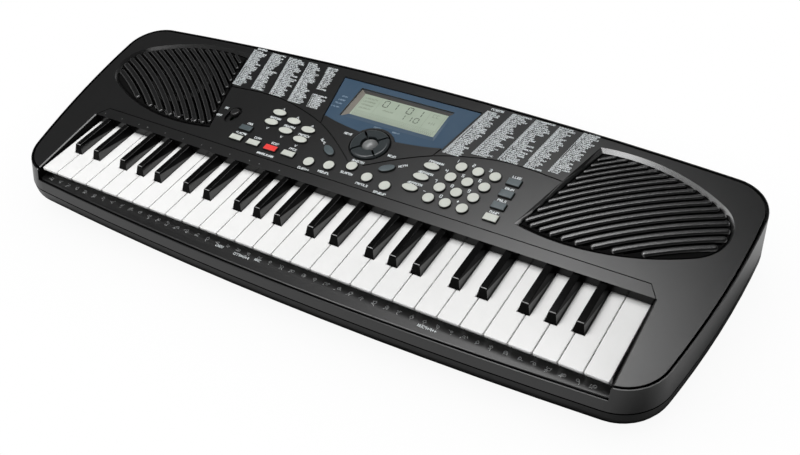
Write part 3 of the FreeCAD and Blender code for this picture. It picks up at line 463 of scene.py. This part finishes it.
lens_blue = plastic("lens_blue", (0.045, 0.080, 0.125), (0.055, 0.090, 0.135), roughness=0.22, mottle=30.0)
frame_taupe = plastic("frame_taupe", (0.16, 0.145, 0.12), (0.20, 0.18, 0.15),
                      roughness=0.35, mottle=60.0, grain=0.1)
# Painted shade on the frame's back flank, at the top edge of the window
frame_painted_shade = plastic("frame_painted_shade", (0.030, 0.028, 0.025), (0.040, 0.037, 0.033),
                     roughness=0.35, mottle=60.0, grain=0.1)
crystal_green = plastic("crystal_green", (0.33, 0.39, 0.31), (0.37, 0.43, 0.35), roughness=0.3, mottle=80.0)
crystal_dark = plastic("crystal_dark", (0.03, 0.035, 0.03), (0.045, 0.05, 0.045), roughness=0.4, mottle=200.0)
crystal_ghost = plastic("crystal_ghost", (0.19, 0.22, 0.17), (0.24, 0.27, 0.22), roughness=0.4, mottle=200.0)

button_light = plastic("button_light", (0.52, 0.54, 0.49), (0.56, 0.58, 0.53),
                       roughness=0.4, mottle=150.0, grain=0.1)
button_dark = plastic("button_dark", (0.055, 0.075, 0.082), (0.070, 0.092, 0.100),
                      roughness=0.38, mottle=150.0, grain=0.1)
button_red = plastic("button_red", (0.75, 0.035, 0.030), (0.82, 0.055, 0.048),
                     roughness=0.35, mottle=150.0, grain=0.1)
# Painted shade on the caps' flanks, for the dark rings round the buttons
cap_painted_shade = plastic("cap_painted_shade", (0.018, 0.019, 0.018), (0.024, 0.025, 0.024), roughness=0.45, mottle=150.0)
cursor_black = plastic("cursor_black", (0.020, 0.026, 0.028), (0.026, 0.032, 0.035),
                       roughness=0.28, mottle=80.0)
# Painted highlight: the cursor pad's dome is paler than its ring
dome_painted_highlight = plastic("dome_painted_highlight", (0.150, 0.155, 0.155), (0.185, 0.190, 0.190), roughness=0.30, mottle=80.0)
switch_black = plastic("switch_black", grey(0.010), grey(0.014), roughness=0.3, mottle=80.0)

ink_white = plastic("ink_white", (0.77, 0.82, 0.83), (0.84, 0.89, 0.90), roughness=0.55, mottle=300.0)
ink_blue = plastic("ink_blue", (0.18, 0.26, 0.34), (0.24, 0.32, 0.40), roughness=0.5, mottle=300.0)
ink_pale = plastic("ink_pale", (0.32, 0.33, 0.33), (0.42, 0.43, 0.43), roughness=0.55, mottle=300.0)
ink_grey = plastic("ink_grey", grey(0.30), grey(0.42), roughness=0.55, mottle=300.0)

laminate = plastic("laminate", (0.02, 0.10, 0.03), (0.03, 0.14, 0.05), roughness=0.45, mottle=60.0)
rubber = plastic("rubber", grey(0.012), grey(0.020), roughness=0.8, mottle=200.0, grain=0.4)
paper_cone = plastic("paper_cone", (0.0030, 0.0028, 0.0026), (0.0042, 0.0040, 0.0038),
                     roughness=0.85, mottle=200.0, grain=0.4)
screw_steel = metal("screw_steel", (0.35, 0.35, 0.36), (0.45, 0.45, 0.46), roughness=0.35)


# Finish of the nodes

def paint(node, *materials, choose=None):
    """Gives a node its materials; choose picks one of them by a face's middle and normal."""
    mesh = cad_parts[node].data
    mesh.materials.clear()
    for material in materials:
        mesh.materials.append(material)
    for face in mesh.polygons:
        face.material_index = materials.index(choose(face.center, face.normal)) if choose else 0


def within(value, span):
    """Whether the value lies between the span's two ends."""
    return span[0] < value < span[1]


def upper_finish(middle, normal):
    """Ribs and the wall behind the keys shine; the grilles' floors and the opening's sides are painted near
    black as shade.
    """
    x, v, h = to_panel(middle)
    if abs(normal.x) > facing and abs(x) < opening_side_x and v < 0.0:
        return painted_shade_dark
    over_keys = middle.z / MM - keys_top_z
    at_wall = abs(middle.y / MM - wall_y) < wall_slack and within(over_keys, (0.0, panel_over_keys))
    if normal.y < -facing and at_wall:
        return case_gloss
    in_grille = within(v, grille_v) and within(abs(x), grille_x)
    if not in_grille or not within(h, (-grille_back_depth, -touch)):
        return case_matte
    return grille_satin if h > touch - grille_depth else painted_shade_dark


def paint_sheen_on_right_bevels():
    """The faces that run from the panel down into the right grille get a painted sheen, a stronger reflection
    than the same moulding at the left grille.
    """
    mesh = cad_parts["upper_case"].data
    mesh.materials.append(rim_painted_sheen)
    sheen_slot = len(mesh.materials) - 1
    for face in mesh.polygons:
        x, v, h = to_panel(face.center)
        if within(v, grille_v) and within(x, grille_x) and within(h, (-grille_depth, -panel_groove_depth)):
            top = max(to_panel(mesh.vertices[corner].co)[2] for corner in face.vertices)
            if top > -touch:
                face.material_index = sheen_slot


def ebony_finish(middle, normal):
    """A black key's front is painted dark and dull as shade, its flanks shine only below a line as a painted
    sheen, and the edge over its front is painted pale as a highlight.
    """
    if normal.y < -facing:
        return ebony_painted_front_shade
    if abs(normal.x) > facing:
        return ebony_flank_painted_sheen
    return ebony_painted_highlight if normal.y < -edge_forward and normal.z > leaning else black_ebony


def tub_or_groove(middle, normal):
    """The groove under the parting line is painted near black as shade, the tub is grained."""
    groove_z = (parting_z - parting_groove - touch, parting_z + touch)
    return painted_shade_dark if within(middle.z / MM, groove_z) else tub_matte


def plate_or_frame(middle, normal):
    """The lens plate is blue, the frame's back flank painted dark as shade and its left flank taupe."""
    if normal.y < -leaning:
        return frame_painted_shade
    return frame_taupe if normal.x > leaning else lens_blue


def ring_or_dome(middle, normal):
    """The domed middle of the cursor pad is painted paler than its ring, as a painted highlight."""
    x, v, h = to_panel(middle)
    off_middle = math.hypot(x - cursor_place[0], v - cursor_place[1])
    return dome_painted_highlight if off_middle < cursor_dome_radius and h > 0.0 else cursor_black


def board_finish(middle, normal):
    """The display glass lies close under the window, the sockets stand at the back wall."""
    x, v, h = to_panel(middle)
    if normal.z > facing and abs(h + glass_depth) < touch:
        return crystal_green
    in_socket = within(x, socket_x) and within(middle.y / MM, socket_y) and within(middle.z / MM, socket_z)
    return switch_black if in_socket else laminate


def list_caps():
    """Middle and colour of every button cap."""
    caps = []
    for row, signs in enumerate(number_keys):
        for column in range(len(signs)):
            caps.append((number_place(row, column), button_light))
    for index in range(len(memory_v)):
        caps.append((memory_place(index), button_light))
    for index in range(pair_count):
        for row in range(pair_rows):
            caps.append((pair_place(index, row), button_light))
    for index in range(part_count):
        caps.append((part_place(index), button_light))
    for side in (-1, 1):
        caps.append(((side * slant_place[0], slant_place[1]), button_dark))
    for index in range(style_count):
        caps.append((style_place(index), button_red if index == style_red else button_light))
    caps.append((timbre_place, button_dark))
    for index in range(voice_count):
        caps.append((voice_place(index), button_dark if index else button_light))
    return caps


button_caps = list_caps()


def button_colour(middle, normal):
    """Colour of the cap whose middle is nearest; the flanks of the caps are painted dark as shade."""
    if normal.z < cap_flank_rise:
        return cap_painted_shade
    spot = to_panel(middle)[:2]
    return min(button_caps, key=lambda cap: math.dist(cap[0], spot))[1]


paint("upper_case", case_matte, case_gloss, painted_shade_dark, grille_satin, choose=upper_finish)
paint_sheen_on_right_bevels()
paint("lower_case", tub_matte, painted_shade_dark, choose=tub_or_groove)
paint("battery_door", tub_matte)
paint("display_window", lens_blue, frame_taupe, frame_painted_shade, choose=plate_or_frame)
paint("push_buttons", button_light, button_dark, button_red, cap_painted_shade, choose=button_colour)
paint("cursor_pad", cursor_black, dome_painted_highlight, choose=ring_or_dome)
paint("power_switch", switch_black)
paint("circuit_boards", laminate, crystal_green, switch_black, choose=board_finish)
paint("speakers", paper_cone)
paint("case_screws", screw_steel)
paint("rubber_feet", rubber)
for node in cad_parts:
    if node.startswith("white_key"):
        paint(node, white_ivory)
    if node.startswith("black_key"):
        paint(node, black_ebony, ebony_flank_painted_sheen, ebony_painted_front_shade, ebony_painted_highlight, choose=ebony_finish)


# Printed marks

class Sheet:
    """Flat strokes collected into one mesh on a surface of the case."""

    def __init__(self, name, place):
        self.name = name
        self.place = place
        self.points = []
        self.faces = []

    def stroke(self, start, end, width):
        """Flat bar of that width from start to end, with square ends."""
        start = Vector(start)
        end = Vector(end)
        along = (end - start).normalized() * width / 2
        across = Vector((-along.y, along.x))
        first = len(self.points)
        corners = (start - along - across, end + along - across, end + along + across, start - along + across)
        for corner in corners:
            self.points.append(self.place(corner.x, corner.y))
        self.faces.append(tuple(range(first, first + len(corners))))

    def finish(self, material):
        """Makes the piece, with its material, on the case."""
        mesh = bpy.data.meshes.new(self.name)
        mesh.from_pydata(self.points, [], self.faces)
        mesh.materials.append(material)
        piece = bpy.data.objects.new(self.name, mesh)
        bpy.context.scene.collection.objects.link(piece)
        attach(piece, "case")


# Bars of a glyph on a cell of 1 by 1, the signs made of them, and shapes that are like letters
BARS = {
    "a": ((0, 1), (1, 1)),
    "b": ((1, 1), (1, 0.5)),
    "c": ((1, 0.5), (1, 0)),
    "d": ((0, 0), (1, 0)),
    "e": ((0, 0.5), (0, 0)),
    "f": ((0, 1), (0, 0.5)),
    "g": ((0, 0.5), (1, 0.5)),
    "m": ((0.5, 0.85), (0.5, 0.15)),
    "n": ((0, 1), (1, 0)),
    "u": ((0, 0), (0.5, 0.6)),
    "w": ((0.5, 0.6), (1, 0)),
    "x": ((0, 0.6), (0.5, 0)),
    "y": ((0.5, 0), (1, 0.6)),
}
GLYPHS = {
    "0": "abcdef", "1": "bc", "2": "abged", "3": "abgcd", "4": "fgbc", "5": "afgcd", "6": "afgedc",
    "7": "abc", "8": "abcdefg", "9": "abcdfg", "-": "g", "+": "gm", "O": "abcdef", "N": "efnbc", "F": "aefg",
    "^": "uw", "v": "xy",
}
SHAPES = ("efabc", "efagd", "efd", "afgcd", "efgbc", "aefgb", "efnbc", "bcdg", "efad", "gm", "aefb")

# Seeded, so that every run draws the same marks
dice = random.Random(letter_seed)


def draw_glyph(sheet, bars, corner, size, stroke, turn):
    """One glyph with its lower left corner at corner, turned about it."""
    cosine, sine = math.cos(turn), math.sin(turn)

    def spot(point):
        x, v = point[0] * size[0], point[1] * size[1]
        return corner[0] + x * cosine - v * sine, corner[1] + x * sine + v * cosine

    for bar in bars:
        start, end = BARS[bar]
        sheet.stroke(spot(start), spot(end), stroke)


def letter_step(height):
    """Distance from one letter to the next."""
    return height * glyph_share + height * glyph_gap_share


def draw_row(sheet, glyphs, x, v, height, stroke, turn=0.0):
    """Glyphs side by side, the row being turned about its start."""
    step = letter_step(height)
    for index, bars in enumerate(glyphs):
        corner = (x + index * step * math.cos(turn), v + index * step * math.sin(turn))
        draw_glyph(sheet, bars, corner, (height * glyph_share, height), stroke, turn)


def write(sheet, text, x, v, height, stroke):
    """Writes plain numbers or signs from left to right."""
    draw_row(sheet, [GLYPHS[sign] for sign in text], x, v, height, stroke)


def word(sheet, x, v, length, height, stroke, turn=0.0):
    """A row of made-up letter shapes of about that length."""
    count = max(1, round(length / letter_step(height)))
    draw_row(sheet, [dice.choice(SHAPES) for _ in range(count)], x, v, height, stroke, turn)


def label(sheet, x, v, length, turn=0.0):
    """A word whose length is centred on a spot."""
    start_x = x - length / 2 * math.cos(turn)
    start_v = v - length / 2 * math.sin(turn)
    word(sheet, start_x, start_v, length, label_height, label_stroke, turn)


def label_by(sheet, place, shift, length):
    """A word centred on a spot beside a button's middle."""
    label(sheet, place[0] + shift[0], place[1] + shift[1], length)


def write_by(sheet, text, place, shift, height):
    """Signs that start at a spot beside a button's middle."""
    write(sheet, text, place[0] + shift[0], place[1] + shift[1], height, label_stroke)


def listing(sheet, bottom, top, longest, first_number):
    """A leaning column of numbered lines from its top down to its bottom; returns the next number."""
    count = round((top[1] - bottom[1]) / list_pitch)
    for index in range(count):
        share = index / (count - 1)
        x = top[0] + (bottom[0] - top[0]) * share
        v = top[1] + (bottom[1] - top[1]) * share
        number = f"{first_number + index:03d}"
        write(sheet, number, x, v, list_height, list_stroke)
        taken = len(number) * letter_step(list_height)
        length = longest * dice.uniform(shortest_line_share, 1.0) - taken
        word(sheet, x + taken + list_height * glyph_gap_share, v, length, list_height, list_stroke)
    return first_number + count


def print_lists(sheet):
    """Both blocks of numbered lists with their titles."""
    for lists in (right_lists, left_lists):
        number = 0
        for bottom, top, longest in lists:
            number = listing(sheet, bottom, top, longest, number)
    for title in list_titles:
        label(sheet, *title)


def print_numbers(sheet):
    """Numbers at the number buttons."""
    for row, signs in enumerate(number_keys):
        for column, sign in enumerate(signs):
            write_by(sheet, sign, number_place(row, column), *number_sign)


def print_labels(sheet):
    """Labels and signs at the other buttons, the cursor pad and the switch."""
    for index in range(voice_count):
        label_by(sheet, voice_place(index), *voice_label)
    for index in range(style_count):
        label_by(sheet, style_place(index), *(style_label if index else first_style_label))
    label_by(sheet, timbre_place, *timbre_label)
    for index in range(pair_count):
        label_by(sheet, pair_place(index, 0), *pair_label)
        write_by(sheet, "^", pair_place(index, 0), *up_sign)
        write_by(sheet, "v", pair_place(index, 1), *down_sign)
    for index in range(part_count):
        label_by(sheet, part_place(index), *part_label)
    for index in range(len(memory_v)):
        label_by(sheet, memory_place(index), *memory_label)
    for side in (-1, 1):
        turn = side * (math.pi / 2 - slant_angle)
        outward = Vector((math.cos(turn), math.sin(turn))) * side
        middle = Vector((side * slant_place[0], slant_place[1])) + outward * slant_label_reach
        label(sheet, middle.x, middle.y, slant_label_length, turn)
    for cursor_label in cursor_labels:
        label(sheet, *cursor_label)
    label_by(sheet, style_place(style_red), *red_label)
    write_by(sheet, "ON", switch_place, *switch_on_sign)
    write_by(sheet, "OFF", switch_place, *switch_off_sign)


panel_print = Sheet("panel_print", lambda x, v: on_panel(x, v, ink_lift))
print_lists(panel_print)
print_numbers(panel_print)
print_labels(panel_print)
panel_print.finish(ink_white)

window_print = Sheet("window_print", lambda x, v: on_panel(x, v, ink_lift - window_depth))
for index, length in enumerate(window_column_lengths):
    x = window_column_first[0] + index * window_column_step[0]
    v = window_column_first[1] + index * window_column_step[1]
    word(window_print, x, v, length, window_word_height, list_stroke)
for place in window_row_places:
    word(window_print, *place, window_row_length, window_word_height, list_stroke)
window_print.finish(ink_blue)


# Small marks on the ledge in front of the keys, one for each note, and on the strip behind them

def on_ledge(x, v):
    """Point on the ledge, v being the distance in front of the keys."""
    return Vector((keys_middle_x + x, keys_front_y - v, ledge_z + ink_lift)) * MM


def ring(sheet, x, v, radius, stroke):
    """Round outline of short strokes."""
    corners = []
    for index in range(ring_sides):
        angle = 2 * math.pi * index / ring_sides
        corners.append((x + radius * math.cos(angle), v + radius * math.sin(angle)))
    for index in range(ring_sides):
        sheet.stroke(corners[index - 1], corners[index], stroke)


def drum_mark(sheet, x, v):
    """A drum among sticks and stands, each a little different."""
    drum_x = x + dice.uniform(-drum_shift[0], drum_shift[0])
    drum_v = v + dice.uniform(-drum_shift[1], drum_shift[1])
    ring(sheet, drum_x, drum_v, dice.uniform(*drum_radius), ledge_stroke)
    half = ledge_mark_size / 2
    for _ in range(dice.randint(*stick_count)):
        start = Vector((x + dice.uniform(-half, half), v + dice.uniform(-half, half)))
        reach = Vector((dice.uniform(*stick_lean), dice.uniform(*stick_rise)))
        sheet.stroke(start, start + reach, ledge_stroke)


ledge_print = Sheet("ledge_print", on_ledge)
for note in range(note_count):
    drum_mark(ledge_print, note * note_step - ledge_span / 2, ledge_mark_v)
ledge_print.finish(ink_pale)

ledge_names = Sheet("ledge_names", on_ledge)
for ledge_word in ledge_words:
    label(ledge_names, *ledge_word)
ledge_names.finish(ink_white)

strip_print = Sheet("strip_print", lambda x, v: on_panel(x, v, ink_lift))
for note in range(strip_notes):
    if note % octave_notes in white_notes:
        ring(strip_print, strip_first_x + note * note_step, strip_mark_v, strip_radius, strip_stroke)
strip_print.finish(ink_grey)


# Display: segments of the liquid crystal

def on_glass(x, v):
    """Point on the glass, measured from its lower left corner."""
    return on_panel(x - glass_width / 2, glass_middle_v - glass_height / 2 + v, ink_lift - glass_depth)


def figure(sheet, text, place, size, step, stroke):
    """Seven-segment figures with small gaps between their bars."""
    for index, sign in enumerate(text):
        corner = Vector((place[0] + index * step, place[1]))
        for bar in GLYPHS[sign]:
            start, end = (corner + Vector(point) * Vector(size) for point in BARS[bar])
            shrink = (end - start).normalized() * stroke
            sheet.stroke(start + shrink, end - shrink, stroke)


def upright(sheet, x, span, stroke):
    """Upright bar over a span that is given in shares of the glass."""
    sheet.stroke((x, span[0] * glass_height), (x, span[1] * glass_height), stroke)


digits = Sheet("display_digits", on_glass)
for display_figure in display_figures:
    figure(digits, *display_figure)
digits.finish(crystal_dark)

marks = Sheet("display_marks", on_glass)
for share in staff_shares:
    staff_v = share * glass_height
    marks.stroke((staff_margin, staff_v), (glass_width - staff_margin, staff_v), staff_stroke)
for index in range(tick_count):
    for shift, span, stroke in tick_rows:
        upright(marks, tick_first + index * tick_step + shift, span, stroke)
for x in divider_x:
    upright(marks, x, divider_span, divider_stroke)
for row in range(display_rows):
    x, v, *letters = display_row_word
    word(marks, x, v + row * display_row_step, *letters)
for display_word in display_words:
    word(marks, *display_word)
marks.finish(crystal_ghost)


# Stage

def add_camera():
    """Camera at the photograph's viewing angle."""
    data = bpy.data.cameras.new("camera")
    data.sensor_fit = "HORIZONTAL"
    data.sensor_width = sensor_width
    data.lens = focal_length
    data.clip_start, data.clip_end = camera_clip
    camera = bpy.data.objects.new("camera", data)
    turn = Matrix((camera_right, camera_up, camera_back)).transposed()
    camera.matrix_world = Matrix.Translation(camera_place) @ turn.to_4x4()
    bpy.context.scene.collection.objects.link(camera)
    bpy.context.scene.camera = camera


def floor_finish():
    """Looks white with a soft shadow round the object, and throws back plain diffuse light."""
    material = bpy.data.materials.new("floor_pale")
    material.use_nodes = True
    tree = material.node_tree
    nodes = tree.nodes
    links = tree.links
    shader = shader_of(material)
    shader.inputs["Base Color"].default_value = opaque(grey(floor_tone))
    shader.inputs["Roughness"].default_value = floor_roughness
    shader.inputs["Specular IOR Level"].default_value = 0.0
    shadow = nodes.new("ShaderNodeAmbientOcclusion")
    shadow.inputs["Distance"].default_value = shadow_reach
    seen = remap(tree, shadow.outputs["AO"], result=shadow_in_picture)
    mirrored = remap(tree, shadow.outputs["AO"], given=gloss_open)
    # Painted shadow by the right front corner, which only glossy faces mirror
    away = nodes.new("ShaderNodeVectorMath")
    away.operation = "DISTANCE"
    away.inputs[1].default_value = (*shadow_spot_place, -floor_drop)
    links.new(nodes.new("ShaderNodeNewGeometry").outputs["Position"], away.inputs[0])
    shadow_spot = remap(tree, away.outputs["Value"], shadow_spot_reach, (shadow_spot_tone, 1.0))
    links.new(shadow_spot.outputs["Result"], mirrored.inputs["To Max"])
    rays = nodes.new("ShaderNodeLightPath")
    level = remap(tree, rays.outputs["Is Camera Ray"])
    links.new(mirrored.outputs["Result"], level.inputs["To Min"])
    links.new(seen.outputs["Result"], level.inputs["To Max"])
    glow = nodes.new("ShaderNodeEmission")
    links.new(level.outputs["Result"], glow.inputs["Strength"])
    looks = rays.outputs["Is Camera Ray"]
    for kind in ("Is Glossy Ray", "Is Transmission Ray"):
        either = nodes.new("ShaderNodeMath")
        either.operation = "MAXIMUM"
        links.new(looks, either.inputs[0])
        links.new(rays.outputs[kind], either.inputs[1])
        looks = either.outputs[0]
    mix = nodes.new("ShaderNodeMixShader")
    links.new(looks, mix.inputs["Fac"])
    links.new(shader.outputs["BSDF"], mix.inputs[1])
    links.new(glow.outputs["Emission"], mix.inputs[2])
    links.new(mix.outputs["Shader"], nodes["Material Output"].inputs["Surface"])
    return material


def add_floor():
    """Square floor just below the feet."""
    mesh = bpy.data.meshes.new("floor")
    corners = [(-floor_half, -floor_half, 0.0), (floor_half, -floor_half, 0.0)]
    corners += [(floor_half, floor_half, 0.0), (-floor_half, floor_half, 0.0)]
    mesh.from_pydata(corners, [], [tuple(range(len(corners)))])
    floor = bpy.data.objects.new("floor", mesh)
    floor.location.z = -floor_drop
    bpy.context.scene.collection.objects.link(floor)
    mesh.materials.append(floor_finish())


def add_world():
    """Studio with white walls and a dark ceiling."""
    world = bpy.data.worlds.new("studio")
    bpy.context.scene.world = world
    world.use_nodes = True
    nodes = world.node_tree.nodes
    links = world.node_tree.links
    split = nodes.new("ShaderNodeSeparateXYZ")
    links.new(nodes.new("ShaderNodeTexCoord").outputs["Generated"], split.inputs["Vector"])
    heights = nodes.new("ShaderNodeValToRGB")
    ramp = heights.color_ramp
    while len(ramp.elements) < len(wall_tones):
        ramp.elements.new(1.0)
    for element, (height, tone) in zip(ramp.elements, wall_tones):
        element.position = height
        element.color = opaque(grey(tone))
    links.new(split.outputs["Z"], heights.inputs["Fac"])
    links.new(heights.outputs["Color"], nodes["Background"].inputs["Color"])


def add_softbox(name, place, target, size, watts):
    """Rectangular soft light at place, turned to target."""
    data = bpy.data.lights.new(name, "AREA")
    data.shape = "RECTANGLE"
    data.size, data.size_y = size
    data.energy = watts
    light = bpy.data.objects.new(name, data)
    light.location = place
    light.rotation_euler = (Vector(target) - Vector(place)).to_track_quat("-Z", "Y").to_euler()
    bpy.context.scene.collection.objects.link(light)


add_camera()
add_floor()
add_world()
for light_name, light_values in softboxes.items():
    add_softbox(light_name, *light_values)
bpy.context.scene.view_settings.view_transform = "Standard"
